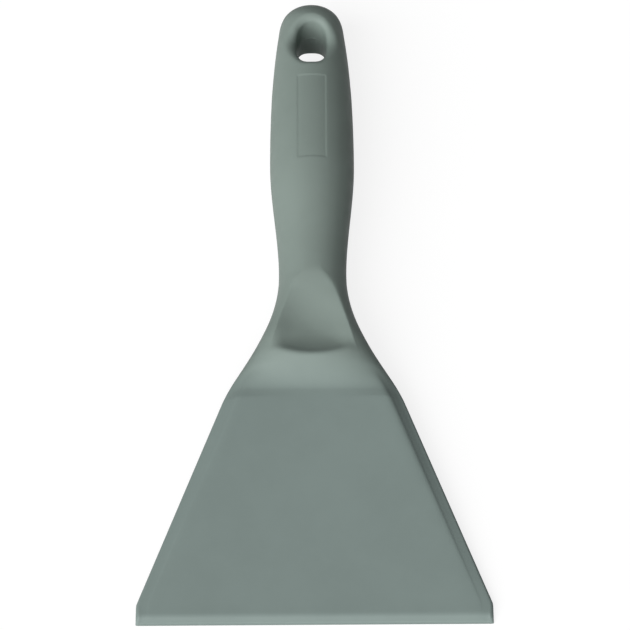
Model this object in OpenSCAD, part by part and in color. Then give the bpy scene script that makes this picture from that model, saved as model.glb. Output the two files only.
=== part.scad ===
// Pan scraper: a one-piece moulded hand scraper with a wide bevelled blade, a thumb rest
// and a barrel-shaped handle that ends in a flared oval hanging hole.
// It lies on its back, as it does on a table: +Z up, +Y from the scraping edge to the
// handle's end, X across the blade. The origin is on the table, under the middle of the tool.
// The sizes and functions below measure y from the scraping edge.

/* [Blade] */
// Width of the scraping edge
edge_w = 102.3; // [84:0.1:120]
// Length of the short straight sides at the corners of the edge
corner_len = 5.7; // [4:0.1:8]
// How far each straight side leans outwards towards the edge
corner_draft = 0.14; // [0:0.02:0.4]
// Width of the blade where its sides bend in towards the shoulder
root_w = 51; // [44:0.2:58]
// Length from the edge to that bend
blade_len = 72.1; // [60:0.5:90]
// Length of the rounding at the bend
bend_len = 9; // [4:0.5:14]
// Thickness of the blade just above its bevel
blade_t = 2.1; // [1.8:0.1:3]
// Thickness of the blade at the foot of the shoulder
root_t = 6.8; // [5:0.1:8]
// How far the back of the blade bulges halfway to the shoulder
back_bulge = 0.3; // [0:0.05:0.5]
// Thickness of the blunt scraping edge
edge_t = 0.8; // [0.5:0.05:1.2]
// Length of the bevel on the front of the edge
bevel_len = 2.2; // [1.5:0.1:4]
// Thickness of the blade's side edges
side_t = 2; // [1.6:0.1:3]
// Radius of the rounding on the side edges
side_r = 1; // [0.6:0.1:1.5]
// Width of the sloping bands along the blade's sides
band_w = 4.7; // [3:0.1:7]

/* [Shoulder and neck] */
// Length from the bend in the sides to where they start to curve into the neck
shoulder_len = 11.6; // [8:0.2:16]
// Width there
throat_w = 36.6; // [32:0.2:42]
// Length from there to the narrowest place of the neck
neck_len = 26.4; // [20:0.2:34]
// Width of the neck
neck_w = 20.2; // [16:0.2:24]
// Thickness of the neck
neck_t = 19.6; // [16:0.2:23]
// How far below the bend the flat front of the blade ends and the shoulder's ramp starts
face_gap = 1; // [0:0.1:4]
// Length of the ramp on the front
ramp_len = 12.2; // [9:0.2:16]
// Height of the shoulder's front above the middle of the blade
shoulder_h = 9.6; // [8:0.1:11]
// Length of the longer, plain ramp on the back
back_ramp_len = 36; // [28:1:38]

/* [Thumb rest] */
// Distance from the foot of the ramp to the crest behind it
crest_dist = 9; // [8:0.2:11]
// Length of the rest from the crest to its round tip
rest_len = 28.1; // [22:0.2:32]
// Width of the rest at the crest
rest_w = 27.4; // [20:0.2:30]
// Radius of the round tip
tip_r = 3.7; // [2:0.1:5]
// Distance from the crest to the deepest place
floor_dist = 10; // [7:0.2:13]
// Height of the deepest place above the middle of the blade
floor_h = 5.3; // [4:0.1:7]
// Height of the crest, before it is rounded, above the middle of the blade
crest_h = 8.9; // [8:0.1:9.5]
// How square the rest's section is at the crest: 2 is a plain hollow
crest_square = 5; // [2:0.5:8]
// How far the crest bows towards the blade
crest_bow = 2.2; // [0:0.1:4]
// Rounding of the crest
crest_soft = 0.9; // [0.5:0.1:2.5]
// Rounding of the round tip
tip_soft = 0.4; // [0.2:0.1:1]

/* [Handle] */
// Length from the narrowest place of the neck to the end of the handle
grip_len = 95.6; // [88:0.5:112]
// Distance from the narrowest place of the neck to the widest place of the grip
belly_dist = 38; // [32:0.5:46]
// Width of the grip at its widest
belly_w = 25.6; // [22:0.1:29]
// Thickness of the grip there
belly_t = 24.4; // [20:0.1:27]
// Width of the handle where its round end starts
end_w = 19.4; // [17:0.1:22]
// Thickness of the handle where its round end starts
end_t = 20.3; // [18:0.1:24]
// Length of the round end, seen from above
cap_len = 6.9; // [6:0.2:9.6]
// Length of the round end, seen from the side
cap_drop_len = 8.5; // [7:0.2:10]
// How much the handle's sides close in per millimetre before the round end
end_taper = 0.15; // [0.05:0.005:0.2]
// Slope of the handle's middle line at its end, on the table
end_slope = -0.03; // [-0.06:0.005:0.03]
// Roundness of the grip's sections: 2 is an ellipse, more is squarer
grip_round = 2.1; // [2:0.05:2.6]
// Roundness of the sections at the crest of the thumb rest
crest_round = 1.8; // [1.5:0.05:2.6]
// Roundness of the sections beside the thumb rest
shoulder_round = 2.4; // [2:0.05:3.2]

/* [Hanging hole] */
// Distance from the end of the handle to the middle of the hole
hole_dist = 17.9; // [15:0.2:20]
// Width of the hole at its waist
hole_w = 9; // [6:0.1:10]
// Length of the hole at its waist
hole_len = 15.4; // [11:0.1:17]
// Roundness of the hole: 2 is an ellipse, more is squarer
hole_round = 2.6; // [2:0.05:3.5]
// Draft of the hole's walls, in degrees
hole_draft = 2; // [0.5:0.25:4]
// Radius of the rounded lip round each mouth
lip_r = 2.2; // [1:0.1:2.6]
// Length of the handle that is meshed round the hole, on the neck's side of it
eye_len = 13; // [11:0.5:15]

/* [Fineness] */
// Steps across the thumb rest on each side of the middle
rest_steps = 6; // [3:1:8]
// Steps from there to the side bands
face_steps = 3; // [2:1:6]
// Steps over the side bands and the rounded side edges
side_steps = 6; // [4:1:8]
// Steps round the end of the handle
end_steps = 26; // [16:2:36]
// Steps over each lip
lip_steps = 5; // [3:1:8]
// Steps from each lip to the outer side
rim_steps = 5; // [3:1:8]

/* [Hidden] */
plastic = [0.486, 0.537, 0.522];

// Places along the tool
face_y = blade_len - face_gap;
throat_y = blade_len + shoulder_len;
neck_y = throat_y + neck_len;
belly_y = neck_y + belly_dist;
length = neck_y + grip_len;
crest_y = face_y + crest_dist;
floor_y = crest_y + floor_dist;
tip_y = crest_y + rest_len;
hole_y = length - hole_dist;
eye_y = hole_y - eye_len;

// Curves
function mix(a, b, u) = a + (b - a) * u;
function step01(u) = u <= 0 ? 0 : u >= 1 ? 1 : u * u * (3 - 2 * u);
function curve(y, y0, a, s0, y1, b, s1) =
    let (d = y1 - y0, u = (y - y0) / d, v = 1 - u)
    a * v * v * (1 + 2 * u) + s0 * d * u * v * v + b * u * u * (3 - 2 * u) - s1 * d * u * u * v;
function soft_min(a, b, k) =
    min(a, b) - pow(max(k - abs(a - b), 0), 2) / (4 * k);
function arc01(u) = u >= 1 ? 0 : sqrt(1 - u * u);

// Half the width, as seen from above
corner_half = edge_w / 2 - corner_draft;
side_slope = (corner_half - root_w / 2) / (blade_len - corner_len);
throat_slope = (root_w - throat_w) / 2 / shoulder_len;
bend0 = blade_len - bend_len / 2;
bend1 = blade_len + bend_len / 2;
cap_y = length - cap_len;
function half_w(y) =
    y <= corner_len ? edge_w / 2 - corner_draft * y / corner_len
    : y <= bend0 ? corner_half - (y - corner_len) * side_slope
    : y <= bend1 ? curve(y, bend0, corner_half - (bend0 - corner_len) * side_slope, -side_slope,
                         bend1, root_w / 2 - (bend1 - blade_len) * throat_slope, -throat_slope)
    : y <= throat_y ? root_w / 2 - (y - blade_len) * throat_slope
    : y <= neck_y ? curve(y, throat_y, throat_w / 2, -throat_slope, neck_y, neck_w / 2, 0)
    : y <= belly_y ? curve(y, neck_y, neck_w / 2, 0, belly_y, belly_w / 2, 0)
    : y <= cap_y ? curve(y, belly_y, belly_w / 2, 0, cap_y, end_w / 2, -end_taper)
    : (end_w / 2 - end_taper * (y - cap_y)) * arc01((y - cap_y) / cap_len);

// Half thicknesses over and under the middle line, before the bevel and the thumb rest
drop_y = length - cap_drop_len;
function blade_half(y) = mix(blade_t, root_t, y / face_y) / 2;
root_slope = (root_t - blade_t) / 2 / face_y;
function grip_half(y) =
    y <= belly_y ? curve(y, neck_y, neck_t / 2, 0, belly_y, belly_t / 2, 0)
    : curve(min(y, drop_y), belly_y, belly_t / 2, 0, drop_y, end_t / 2, -0.03)
      * arc01(max(0, y - drop_y) / cap_drop_len);
function front_half(y) =
    y <= face_y ? blade_half(y)
    : y <= face_y + ramp_len ? curve(y, face_y, root_t / 2, root_slope, face_y + ramp_len, shoulder_h, 0.03)
    : y <= neck_y ? curve(y, face_y + ramp_len, shoulder_h, 0.03, neck_y, neck_t / 2, 0)
    : grip_half(y);
function back_half(y) =
    y <= face_y ? blade_half(y) + 4 * back_bulge * y * (face_y - y) / pow(face_y, 2)
    : y <= face_y + back_ramp_len
      ? curve(y, face_y, root_t / 2, root_slope - 4 * back_bulge / face_y,
              face_y + back_ramp_len, neck_t / 2 - 0.2, 0.03)
    : y <= neck_y ? curve(y, face_y + back_ramp_len, neck_t / 2 - 0.2, 0.03, neck_y, neck_t / 2, 0)
    : grip_half(y);

// The middle line climbs from the edge and bends over along the grip. The climb is the one
// at which the back just touches the table, behind the shoulder.
function bow(y) = y <= neck_y ? 0 : pow(y - neck_y, 2) / (2 * grip_len);
function climb_at(y) = (back_half(y) - blade_t / 2 - end_slope * bow(y)) / (y - bow(y));
climb = max([for (y = [face_y : 0.25 : drop_y]) climb_at(y)]);
function middle(y) = blade_t / 2 + climb * (y - bow(y)) + end_slope * bow(y);

// Height of the front and the back over the point (x, y)
bevel_rise = (middle(bevel_len) + blade_half(bevel_len) - edge_t) / bevel_len;
function top(y) = y < bevel_len ? edge_t + y * bevel_rise : middle(y) + front_half(y);
function bottom(y) = middle(y) - back_half(y);
function parting(y) = y < bevel_len ? (top(y) + bottom(y)) / 2 : middle(y);
function blade_section(d, h) =
    let (e = min(side_t / 2, h), slope = (h - e) / (band_w - side_r))
    d < side_r ? e * arc01(1 - d / side_r) : min(h, e + (d - side_r) * slope);
function round_section(s, h, p) = s >= 1 ? 0 : h * pow(1 - pow(s, p), 1 / p);
function section(x, y, h) =
    let (w = half_w(y), d = max(0, w - abs(x)), k = step01((y - face_y + 3) / (crest_dist + 1)),
         p = mix(mix(crest_round, shoulder_round, step01((y - crest_y) / floor_dist)), grip_round,
                 step01((y - throat_y) / neck_len)))
    k <= 0 ? blade_section(d, h)
    : mix(blade_section(d, h), round_section(min(1, abs(x) / w), h, p), k);
function plain_front(x, y) = parting(y) + section(x, y, top(y) - parting(y));
function back(x, y) = parting(y) - section(x, y, parting(y) - bottom(y));

// The thumb rest: a bell-shaped hollow, deepest near the crest
tip_h = front_half(tip_y);
wall_slope = 2 * (crest_h - floor_h) / floor_dist;
function rest_half(y) =
    let (u = min(1, max(0, (tip_y - y) / rest_len)), v = min(1, max(0, (tip_y - y) / tip_r)))
    max(0.5, tip_r * arc01(1 - v) + (rest_w / 2 - tip_r) * pow(u, 0.85));
function rest_floor(y) =
    y < crest_y ? crest_h + (crest_y - y) * wall_slope
    : y < floor_y ? floor_h + (crest_h - floor_h) * pow((floor_y - y) / floor_dist, 2)
    : y < tip_y ? curve(y, floor_y, floor_h, 0, tip_y, tip_h, 0.16)
    : tip_h + (y - tip_y) * 0.16;
function rest_z(x, y) =
    let (r = rest_half(y), low = middle(y) + rest_floor(y - crest_bow * pow(x / rest_w * 2, 2)),
         edge = max(plain_front(r, y), middle(y) + rest_floor(y)),
         n = mix(crest_square, 2, step01((y - crest_y) / floor_dist)))
    low + (edge - middle(y) - rest_floor(y)) * pow(abs(x) / r, n);
function in_rest(y) = y > face_y && y < tip_y + 6;
function front(x, y) =
    in_rest(y) ? soft_min(plain_front(x, y), rest_z(x, y), mix(tip_soft, crest_soft,
                          step01((tip_y - y) / rest_len)))
    : plain_front(x, y);

// Columns across the tool, from the left side to the right
columns = rest_steps + face_steps + side_steps;
function inner_x(y) =
    let (w = half_w(y), u = step01((y - bend0) / 14), v = step01((y - tip_y + 6) / 12))
    mix(mix(0.45 * w, min(rest_half(y), 0.8 * w), u), 0.45 * w, v);
function outer_x(y) =
    let (w = half_w(y), u = step01((y - bend0) / 30))
    mix(w - band_w, 0.8 * w, u);
function column_x(j, y) =
    let (a = abs(j), s = j < 0 ? -1 : 1, i = inner_x(y), o = max(outer_x(y), i + 0.3), w = half_w(y))
    s * (a <= rest_steps ? i * a / rest_steps
         : a <= rest_steps + face_steps ? mix(i, o, (a - rest_steps) / face_steps)
         : mix(o, w, sin(90 * (a - rest_steps - face_steps) / side_steps)));

// Rows along the tool
function steps(a, b, n) = [for (i = [0 : n - 1]) mix(a, b, i / n)];
rows = concat(
    steps(0, bevel_len, 1), steps(bevel_len, corner_len, 1), steps(corner_len, bend0, 6),
    steps(bend0, face_y, 2), steps(face_y, crest_y, 10), steps(crest_y, floor_y, 10),
    steps(floor_y, tip_y, 9), steps(tip_y, belly_y, 9), steps(belly_y, eye_y, 5), [eye_y]);

// The hole: rays run from its middle to the columns of the last row and round the end
hole_z = middle(hole_y);
tan_draft = tan(hole_draft);
function oval(a) = pow(pow(abs(cos(a)) / hole_w * 2, hole_round)
                       + pow(abs(sin(a)) / hole_len * 2, hole_round), -1 / hole_round);
function angle_at(y) = atan2(y - hole_y, half_w(y));
function y_at(a, lo, hi, n) =
    n == 0 ? (lo + hi) / 2
    : let (m = (lo + hi) / 2) angle_at(m) < a ? y_at(a, m, hi, n - 1) : y_at(a, lo, m, n - 1);
corner_a = angle_at(eye_y);
function end_point(k) =
    let (a = mix(corner_a, 180 - corner_a, k / end_steps), m = a <= 90 ? a : 180 - a,
         y = 2 * k == end_steps ? length : k == 0 || k == end_steps ? eye_y : y_at(m, eye_y, length, 40))
    [(a <= 90 ? 1 : -1) * half_w(y), y];
row_rays = 2 * columns;
rays = row_rays + end_steps;
function on_row(k) = k <= row_rays;
function ray_end(k) =
    on_row(k) ? [column_x(k - columns, eye_y), eye_y] : end_point(k - row_rays);

// Height of one face (side 1 is the front, -1 the back) at a distance along a ray
function face_z(p, side) = side > 0 ? front(p[0], p[1]) : back(p[0], p[1]);
function along(k, r) = let (e = ray_end(k) - [0, hole_y]) [0, hole_y] + e * r / norm(e);
function height(k, r, side) = side * (face_z(along(k, r), side) - hole_z);
function rise(k, r, side) = (height(k, r + 0.01, side) - height(k, r - 0.01, side)) / 0.02;
// The lip is an arc that touches the wall and the face. Its foot on the face is found in a few turns.
function lip_foot(k, c, rad, side, r, n) =
    n == 0 ? r : let (m = rise(k, r, side)) lip_foot(k, c, rad, side, c - rad * m / sqrt(1 + m * m), n - 1);
function lip(k, side) =
    let (e = ray_end(k) - [0, hole_y], a = atan2(e[1], e[0]), w0 = oval(a),
         wall = w0 + (height(k, w0 + lip_r, side) - lip_r) * tan_draft,
         rad = min(lip_r, 0.4 * (norm(e) - wall)), c = wall + rad,
         foot = lip_foot(k, c, rad, side, c, 12), m = rise(k, foot, side),
         z = height(k, foot, side) - rad / sqrt(1 + m * m), turn = 180 - atan2(1, -m))
    [for (i = [0 : lip_steps])
        let (t = 180 - turn * i / lip_steps) [c + rad * cos(t), z + rad * sin(t)]];
function chain(k, side) =
    let (l = lip(k, side), e = norm(ray_end(k) - [0, hole_y]), foot = l[lip_steps][0],
         bend = on_row(k) ? pow(abs(k - columns) / columns, 4) : 1)
    concat(
        [[oval_of(k), 0], [mix(oval_of(k), l[0][0], 0.5), l[0][1] / 2]], l,
        [for (i = [1 : rim_steps - 1])
            let (u = i / rim_steps, r = mix(foot, e, mix(u, sin(90 * u), bend))) [r, height(k, r, side)]]);
function oval_of(k) = let (e = ray_end(k) - [0, hole_y]) oval(atan2(e[1], e[0]));
function place(k, q, side) = let (p = along(k, q[0])) [p[0], p[1], hole_z + side * q[1]];

// Points: the rows, then the rays
J = columns;
ring = 4 * J;
function row_ring(y) = concat(
    [for (j = [-J : J]) [column_x(j, y), y, abs(j) == J ? parting(y) : front(column_x(j, y), y)]],
    [for (j = [J - 1 : -1 : 1 - J]) [column_x(j, y), y, back(column_x(j, y), y)]]);
body_points = [for (y = rows) each row_ring(y)];
last = len(rows) - 1;
function row_front(r, j) = r * ring + j + J;
function row_back(r, j) = abs(j) == J ? row_front(r, j) : r * ring + 3 * J - j;
chain_len = lip_steps + rim_steps + 2;
ray_points = [for (k = [0 : rays - 1]) let (f = chain(k, 1), b = chain(k, -1)) concat(
    [for (i = [chain_len - 1 : -1 : 1]) place(k, b[i], -1)], [for (q = f) place(k, q, 1)])];
ray_len = 2 * chain_len - 1;
end_points = [for (k = [row_rays + 1 : rays - 1]) let (p = ray_end(k)) [p[0], p[1], parting(p[1])]];
ray_base = len(body_points);
end_base = ray_base + rays * ray_len;
function ray_point(kk, i) =
    let (k = kk % rays)
    i == 0 ? (on_row(k) ? row_back(last, k - J) : end_base + k - row_rays - 1)
    : i == ray_len + 1 ? (on_row(k) ? row_front(last, k - J) : end_base + k - row_rays - 1)
    : ray_base + k * ray_len + i - 1;

// Faces: each four-sided patch is split so that the left side mirrors the right
function patch(a, b, c, d, flip) = flip ? [[a, b, c], [a, c, d]] : [[a, b, d], [b, c, d]];
body_faces = [for (r = [0 : last - 1]) for (j = [-J : J - 1]) each concat(
    patch(row_front(r, j), row_front(r + 1, j), row_front(r + 1, j + 1), row_front(r, j + 1), j < 0),
    patch(row_back(r, j), row_back(r, j + 1), row_back(r + 1, j + 1), row_back(r + 1, j), j >= 0))];
edge_faces = [for (j = [-J : J - 1]) each
    abs(j) == J ? [[row_front(0, j), row_front(0, j + 1), row_back(0, j + 1)]]
    : j == J - 1 ? [[row_front(0, j), row_front(0, j + 1), row_back(0, j)]]
    : patch(row_front(0, j), row_front(0, j + 1), row_back(0, j + 1), row_back(0, j), j < 0)];
eye_faces = [for (k = [0 : rays - 1]) for (i = [0 : ray_len]) each
    let (a = ray_point(k, i), b = ray_point(k + 1, i), c = ray_point(k + 1, i + 1), d = ray_point(k, i + 1))
    a == d ? [[a, b, c]] : b == c ? [[a, b, d]] : patch(a, b, c, d, k < J || k >= row_rays + end_steps / 2)];

module scraper() {
    color(plastic)
        translate([0, -length / 2, 0])
        polyhedron(points = concat(body_points, [for (r = ray_points) each r], end_points),
                   faces = concat(body_faces, edge_faces, eye_faces), convexity = 6);
}

scraper();
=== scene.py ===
import math

import bpy
from mathutils import Matrix, Vector


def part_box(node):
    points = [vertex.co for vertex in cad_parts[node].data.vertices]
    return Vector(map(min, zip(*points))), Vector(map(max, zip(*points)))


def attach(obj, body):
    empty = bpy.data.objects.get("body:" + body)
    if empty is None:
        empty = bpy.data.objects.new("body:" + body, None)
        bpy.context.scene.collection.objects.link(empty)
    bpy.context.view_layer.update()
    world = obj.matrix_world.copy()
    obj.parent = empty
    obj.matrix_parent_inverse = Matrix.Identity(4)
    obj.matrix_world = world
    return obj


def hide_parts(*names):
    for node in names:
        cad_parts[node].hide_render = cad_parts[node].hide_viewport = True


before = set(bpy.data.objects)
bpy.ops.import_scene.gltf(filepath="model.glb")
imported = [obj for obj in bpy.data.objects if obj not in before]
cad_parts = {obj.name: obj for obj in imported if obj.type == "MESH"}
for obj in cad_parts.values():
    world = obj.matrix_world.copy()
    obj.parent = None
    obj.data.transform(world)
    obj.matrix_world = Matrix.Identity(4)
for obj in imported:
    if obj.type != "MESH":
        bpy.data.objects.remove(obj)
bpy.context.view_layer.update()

# The camera
# It looks down at the front of the blade from the scraping edge's side, at the photograph's angle,
# from about a metre away, turned a third of a degree so that the edge rises to the right.
camera_distance = 1.0
camera_elevation = math.radians(59.4)
camera_roll = math.radians(0.35)
camera_target = Vector((0.00063, -0.00540, 0.0090))
camera_data = bpy.data.cameras.new("camera")
camera_data.sensor_width = 36.0
camera_data.lens = 191.8
camera = bpy.data.objects.new("camera", camera_data)
bpy.context.scene.collection.objects.link(camera)
camera_offset = Vector((0.0, -math.cos(camera_elevation), math.sin(camera_elevation)))
camera_place = Matrix.Translation(camera_target + camera_distance * camera_offset)
camera_turn = (Matrix.Rotation(math.radians(90) - camera_elevation, 4, "X")
               @ Matrix.Rotation(-camera_roll, 4, "Z"))
camera.matrix_world = camera_place @ camera_turn
bpy.context.scene.camera = camera
bpy.context.scene.view_settings.view_transform = "Standard"

# The scraper
# The whole tool is one injection-moulded piece of grey-green polypropylene: blade, shoulder, thumb
# rest, neck, grip and hanging hole. Its skin is a copy of the moulding's solid, with the facets
# joined into four-sided patches and smoothed, and the scraping edge and its bevel kept crisp.
edge_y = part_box("scraper")[0][1]
blade_thickness = 0.0021
bevel_length = 0.0022
corner_length = 0.0057
rest_tip_y = 0.00535
rest_tip_radius = 0.0037
rest_tip_share = 0.14
rest_length = 0.0281
rest_spread = 0.0100
rest_spread_power = 0.85
rest_least_height = 0.005

doubles_distance = 0.000002
bpy.ops.object.select_all(action="DESELECT")
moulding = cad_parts["scraper"]
moulding.select_set(True)
bpy.context.view_layer.objects.active = moulding
bpy.ops.object.duplicate()
scraper = bpy.context.view_layer.objects.active
scraper.name = "scraper_moulding"
scraper.data.name = "scraper_moulding"
bpy.ops.object.mode_set(mode="EDIT")
bpy.ops.mesh.select_all(action="SELECT")
bpy.ops.mesh.remove_doubles(threshold=doubles_distance)
bpy.ops.mesh.tris_convert_to_quads(face_threshold=math.radians(40),
                                   shape_threshold=math.radians(60))
bpy.ops.mesh.select_all(action="DESELECT")
bpy.ops.object.mode_set(mode="OBJECT")

# the lines that stay crisp are found by their places along the blade and the thumb rest
row_reach = 0.0001
least_step = 0.00001


def in_row(point, distance):
    return abs(point.y - edge_y - distance) < row_reach


def runs_across(a, b):
    return abs(a.x - b.x) > least_step


def on_scraping_edge(a, b):
    return in_row(a, 0.0) and in_row(b, 0.0) and runs_across(a, b)


def on_bevel_line(a, b):
    in_front = min(a.z, b.z) > blade_thickness
    return in_row(a, bevel_length) and in_row(b, bevel_length) and in_front and runs_across(a, b)


def on_corner_row(a, b):
    return in_row(a, corner_length) and in_row(b, corner_length)


def on_rest_rim(a, b):
    for point in (a, b):
        share = (rest_tip_y - point.y) / rest_length
        if point.z < rest_least_height or not rest_tip_share < share < 1.0:
            return False
        half_width = rest_tip_radius + rest_spread * share ** rest_spread_power
        if abs(abs(point.x) - half_width) > row_reach:
            return False
    return abs(a.y - b.y) > 2.0 * row_reach


def crease_edges(piece, wanted, amount):
    for polygon in piece.data.polygons:
        polygon.select = False
    for vertex in piece.data.vertices:
        vertex.select = False
    for edge in piece.data.edges:
        a, b = (piece.data.vertices[i].co for i in edge.vertices)
        edge.select = wanted(a, b)
    bpy.ops.object.mode_set(mode="EDIT")
    bpy.ops.mesh.select_mode(type="EDGE")
    bpy.ops.transform.edge_crease(value=amount)
    bpy.ops.mesh.select_mode(type="VERT")
    bpy.ops.object.mode_set(mode="OBJECT")


edge_crispness = 0.9
bevel_crispness = 0.95
corner_crispness = 0.75
rim_crispness = 0.45
crease_edges(scraper, on_scraping_edge, edge_crispness)
crease_edges(scraper, on_bevel_line, bevel_crispness)
crease_edges(scraper, on_corner_row, corner_crispness)
crease_edges(scraper, on_rest_rim, rim_crispness)

# the bevel's upper line is drawn a little nearer the scraping edge than the solid has it
bevel_shift = 0.0003
for vertex in scraper.data.vertices:
    if in_row(vertex.co, bevel_length) and vertex.co.z > blade_thickness:
        vertex.co.y -= bevel_shift

# smoothing draws the corners in, so they are first pushed out by about as much
skin_levels = 2
push_passes = 2
push_share = 0.7
skin = scraper.modifiers.new("skin", "SUBSURF")
skin.levels = skin_levels
skin.render_levels = skin_levels
corners = [vertex.co.copy() for vertex in scraper.data.vertices]
for push in range(push_passes):
    rounded = scraper.evaluated_get(bpy.context.evaluated_depsgraph_get()).data
    drawn_in = [corner - rounded.vertices[i].co for i, corner in enumerate(corners)]
    for vertex, offset in zip(scraper.data.vertices, drawn_in):
        vertex.co += push_share * offset
    scraper.data.update()
bpy.ops.object.modifier_apply(modifier="skin")

# a shallow plain panel is let into the front of the grip
panel_half_width = 0.0045
panel_low_y = 0.0412
panel_high_y = 0.0714
panel_wall = 0.00035
panel_depth = 0.00014
panel_margin = 0.0008
panel_least_height = 0.02
facing_up = 0.5


def inside_panel(x, y):
    return min(panel_half_width - abs(x), y - panel_low_y, panel_high_y - y)


def cut_front(piece, place, direction):
    bpy.ops.object.mode_set(mode="EDIT")
    bpy.ops.mesh.select_mode(type="FACE")
    bpy.ops.mesh.select_all(action="DESELECT")
    bpy.ops.object.mode_set(mode="OBJECT")
    for polygon in piece.data.polygons:
        near_panel = inside_panel(polygon.center.x, polygon.center.y) > -panel_margin
        polygon.select = near_panel and polygon.normal.z > facing_up
    bpy.ops.object.mode_set(mode="EDIT")
    bpy.ops.mesh.bisect(plane_co=place, plane_no=direction)
    bpy.ops.mesh.select_all(action="DESELECT")
    bpy.ops.mesh.select_mode(type="VERT")
    bpy.ops.object.mode_set(mode="OBJECT")


for step in (0.0, panel_wall):
    for x in (step - panel_half_width, panel_half_width - step):
        cut_front(scraper, (x, 0.0, 0.0), (1.0, 0.0, 0.0))
    for y in (panel_low_y + step, panel_high_y - step):
        cut_front(scraper, (0.0, y, 0.0), (0.0, 1.0, 0.0))
for vertex in scraper.data.vertices:
    inside = inside_panel(vertex.co.x, vertex.co.y)
    if vertex.co.z > panel_least_height and inside > 0.0:
        vertex.co.z -= panel_depth * min(1.0, inside / panel_wall)
bpy.ops.object.shade_smooth_by_angle(angle=math.radians(28))

blade_colour = (0.199, 0.249, 0.234, 1.0)
grip_colour = (0.202, 0.248, 0.225, 1.0)
plastic = bpy.data.materials.new("grey_green_polypropylene")
plastic.use_nodes = True
plastic_nodes = plastic.node_tree.nodes
plastic_links = plastic.node_tree.links
plastic_shader = plastic_nodes["Principled BSDF"]
plastic_shader.inputs["Specular IOR Level"].default_value = 0.2
plastic_place = plastic_nodes.new("ShaderNodeTexCoord")
plastic_axes = plastic_nodes.new("ShaderNodeSeparateXYZ")
plastic_links.new(plastic_place.outputs["Object"], plastic_axes.inputs["Vector"])


def plastic_math(operation, first, second=None, third=None):
    node = plastic_nodes.new("ShaderNodeMath")
    node.operation = operation
    for socket, value in zip(node.inputs, (first, second, third)):
        if isinstance(value, (int, float)):
            socket.default_value = value
        elif value is not None:
            plastic_links.new(value, socket)
    return node.outputs["Value"]


def plastic_noise(scale, detail, roughness):
    node = plastic_nodes.new("ShaderNodeTexNoise")
    node.inputs["Scale"].default_value = scale
    node.inputs["Detail"].default_value = detail
    node.inputs["Roughness"].default_value = roughness
    plastic_links.new(plastic_place.outputs["Object"], node.inputs["Vector"])
    return node.outputs["Fac"]


def plastic_range(value, low, high, new_low, new_high):
    node = plastic_nodes.new("ShaderNodeMapRange")
    node.interpolation_type = "SMOOTHSTEP"
    node.inputs["From Min"].default_value = low
    node.inputs["From Max"].default_value = high
    node.inputs["To Min"].default_value = new_low
    node.inputs["To Max"].default_value = new_high
    plastic_links.new(value, node.inputs["Value"])
    return node.outputs["Result"]


# the mould's parting line runs round the sides and through the hole, at the section's middle,
# which climbs from the scraping edge and levels out along the arched grip
neck_distance = 0.1101
grip_length = 0.0956
blade_climb = 0.0815633
end_climb = -0.03
line_core = 0.00003
line_reach = 0.00018
from_edge = plastic_math("SUBTRACT", plastic_axes.outputs["Y"], edge_y)
past_neck = plastic_math("MAXIMUM", plastic_math("SUBTRACT", from_edge, neck_distance), 0.0)
squared = plastic_math("MULTIPLY", past_neck, past_neck)
bow = plastic_math("DIVIDE", squared, 2.0 * grip_length)
climb = plastic_math("MULTIPLY_ADD", from_edge, blade_climb, blade_thickness / 2.0)
middle = plastic_math("MULTIPLY_ADD", bow, end_climb - blade_climb, climb)
above_middle = plastic_math("SUBTRACT", plastic_axes.outputs["Z"], middle)
off_middle = plastic_math("ABSOLUTE", above_middle)
parting_line = plastic_range(off_middle, line_core, line_reach, 1.0, 0.0)

# round the waist of the hole the line is wider
hole_y = 0.08495
hole_zone = 0.0086
hole_zone_end = 0.0096
waist_core = 0.00005
waist_reach = 0.0004
hole_across = plastic_math("ABSOLUTE", plastic_axes.outputs["X"])
hole_lengthways = plastic_math("SUBTRACT", plastic_axes.outputs["Y"], hole_y)
hole_away = plastic_math("ADD", hole_across, plastic_math("ABSOLUTE", hole_lengthways))
in_hole = plastic_range(hole_away, hole_zone, hole_zone_end, 1.0, 0.0)
near_waist = plastic_range(off_middle, waist_core, waist_reach, 1.0, 0.0)
waist_line = plastic_math("MULTIPLY", near_waist, in_hole)
parting_line = plastic_math("MAXIMUM", parting_line, waist_line)

# the thick grip looks a little less blue than the thin blade, and the pigment is faintly uneven
noise_low = 0.3
noise_high = 0.7
blade_end = 0.066
shoulder_end = 0.088
pigment_spread = 0.025
line_paleness = 0.10
waist_paleness_and_painted_highlight = 0.20
thick = plastic_range(from_edge, blade_end, shoulder_end, 0.0, 1.0)
plastic_tone = plastic_nodes.new("ShaderNodeMix")
plastic_tone.data_type = "RGBA"
plastic_tone.inputs["A"].default_value = blade_colour
plastic_tone.inputs["B"].default_value = grip_colour
plastic_links.new(thick, plastic_tone.inputs["Factor"])
clouds = plastic_noise(scale=55.0, detail=4.0, roughness=0.6)
pigment = plastic_range(clouds, noise_low, noise_high, 1.0 - pigment_spread, 1.0 + pigment_spread)
pigment = plastic_math("MULTIPLY_ADD", parting_line, line_paleness, pigment)
# round the hole's waist the line is paler than on the sides: partly the witness line's own
# paleness, partly a painted highlight along the lit edge where the upper wall meets the shaded
# lower wall
pigment = plastic_math("MULTIPLY_ADD", waist_line, waist_paleness_and_painted_highlight, pigment)
plastic_colour = plastic_nodes.new("ShaderNodeVectorMath")
plastic_colour.operation = "SCALE"
plastic_links.new(plastic_tone.outputs["Result"], plastic_colour.inputs[0])
plastic_links.new(pigment, plastic_colour.inputs["Scale"])
plastic_links.new(plastic_colour.outputs["Vector"], plastic_shader.inputs["Base Color"])

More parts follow.
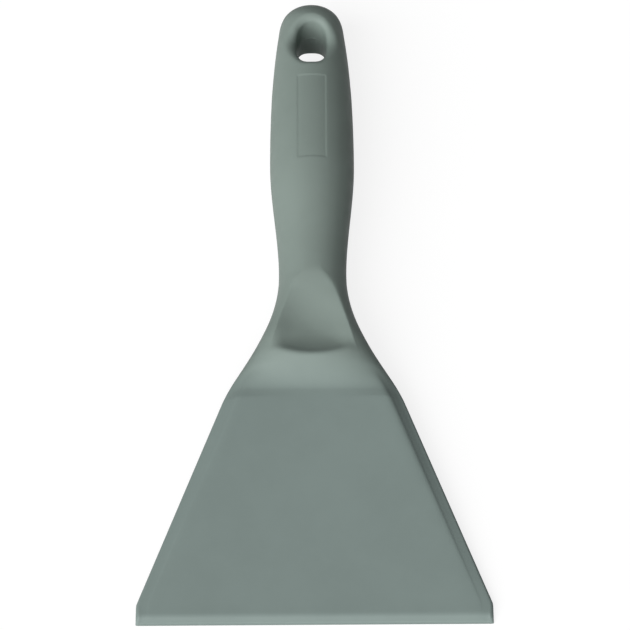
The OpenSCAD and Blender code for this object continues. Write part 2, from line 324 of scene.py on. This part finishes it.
# the satin varies a little, and the plastic is smoother towards the scraping edge
satin_smoothest = 0.52
satin_roughest = 0.6
rubbed_length = 0.009
rubbed_smoother_by = 0.08
patches = plastic_noise(scale=240.0, detail=3.0, roughness=0.6)
satin = plastic_range(patches, noise_low, noise_high, satin_smoothest, satin_roughest)
rubbed = plastic_range(from_edge, 0.0, rubbed_length, -rubbed_smoother_by, 0.0)
plastic_links.new(plastic_math("ADD", satin, rubbed), plastic_shader.inputs["Roughness"])

# the mould's blasted texture is coarser on the grip, over a slight waviness of the whole skin
grip_start = 0.095
blade_grain = 0.000006
grip_grain = 0.000012
wave_height = 0.00002
line_height = 0.00004
waist_height = 0.00014
pits = plastic_noise(scale=2600.0, detail=3.0, roughness=0.55)
waves = plastic_noise(scale=90.0, detail=2.0, roughness=0.5)
grain = plastic_range(from_edge, blade_end, grip_start, blade_grain, grip_grain)
blasting = plastic_math("MULTIPLY", pits, grain)
waviness = plastic_math("MULTIPLY", waves, wave_height)
relief = plastic_math("ADD", blasting, waviness)
relief = plastic_math("MULTIPLY_ADD", parting_line, line_height, relief)
relief = plastic_math("MULTIPLY_ADD", waist_line, waist_height, relief)
plastic_bump = plastic_nodes.new("ShaderNodeBump")
plastic_bump.inputs["Strength"].default_value = 1.0
plastic_bump.inputs["Distance"].default_value = 1.0
plastic_links.new(relief, plastic_bump.inputs["Height"])
plastic_links.new(plastic_bump.outputs["Normal"], plastic_shader.inputs["Normal"])
scraper.data.materials.clear()
scraper.data.materials.append(plastic)
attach(scraper, "root")
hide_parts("scraper")

# The floor
# A plain sheet of pale paper that the scraper lies on. The camera sees it white, with the scraper's
# faint shadow, and it is dark to the light that it would throw back up at the scraper.
floor_size = 4.0
paper_to_light = (0.12, 0.12, 0.12, 1.0)
paper_to_camera = (0.20, 0.20, 0.20, 1.0)
paper_glow = 0.84
bpy.ops.object.select_all(action="DESELECT")
bpy.ops.mesh.primitive_plane_add(size=floor_size, location=(0.0, 0.0, 0.0))
floor = bpy.context.view_layer.objects.active
floor.name = "floor"
paper = bpy.data.materials.new("pale_floor")
paper.use_nodes = True
paper_nodes = paper.node_tree.nodes
paper_links = paper.node_tree.links
paper_shader = paper_nodes["Principled BSDF"]
paper_shader.inputs["Roughness"].default_value = 1.0
paper_shader.inputs["Specular IOR Level"].default_value = 0.0
paper_shader.inputs["Emission Color"].default_value = (1.0, 1.0, 1.0, 1.0)
paper_path = paper_nodes.new("ShaderNodeLightPath")
paper_seen = paper_nodes.new("ShaderNodeMath")
paper_seen.operation = "MAXIMUM"
paper_links.new(paper_path.outputs["Is Camera Ray"], paper_seen.inputs[0])
paper_links.new(paper_path.outputs["Is Glossy Ray"], paper_seen.inputs[1])
paper_tone = paper_nodes.new("ShaderNodeMix")
paper_tone.data_type = "RGBA"
paper_tone.inputs["A"].default_value = paper_to_light
paper_tone.inputs["B"].default_value = paper_to_camera
paper_links.new(paper_seen.outputs["Value"], paper_tone.inputs["Factor"])
paper_links.new(paper_tone.outputs["Result"], paper_shader.inputs["Base Color"])
paper_light = paper_nodes.new("ShaderNodeMath")
paper_light.operation = "MULTIPLY"
paper_light.inputs[1].default_value = paper_glow
paper_links.new(paper_seen.outputs["Value"], paper_light.inputs[0])
paper_links.new(paper_light.outputs["Value"], paper_shader.inputs["Emission Strength"])
floor.data.materials.append(paper)

# The light
# One large soft light stands in front of the scraping edge and to its left, thirty degrees up. A
# weak even light fills the rest of the room, so that the handle's right side falls into shade.
toward_light = Vector((-0.52, -0.69, 0.50))
room_to_scraper = 0.2
room_to_camera = 1.0
soft_light_data = bpy.data.lights.new("soft_light", "SUN")
soft_light_data.energy = 4.25
soft_light_data.angle = math.radians(66)
soft_light = bpy.data.objects.new("soft_light", soft_light_data)
bpy.context.scene.collection.objects.link(soft_light)
soft_light.rotation_euler = toward_light.to_track_quat("Z", "Y").to_euler()
room = bpy.data.worlds.new("room")
room.use_nodes = True
room_nodes = room.node_tree.nodes
room_links = room.node_tree.links
room_background = room_nodes["Background"]
room_background.inputs["Color"].default_value = (1.0, 1.0, 1.0, 1.0)
room_path = room_nodes.new("ShaderNodeLightPath")
room_level = room_nodes.new("ShaderNodeMix")
room_level.data_type = "FLOAT"
room_level.inputs["A"].default_value = room_to_scraper
room_level.inputs["B"].default_value = room_to_camera
room_links.new(room_path.outputs["Is Camera Ray"], room_level.inputs["Factor"])
room_links.new(room_level.outputs["Result"], room_background.inputs["Strength"])
bpy.context.scene.world = room
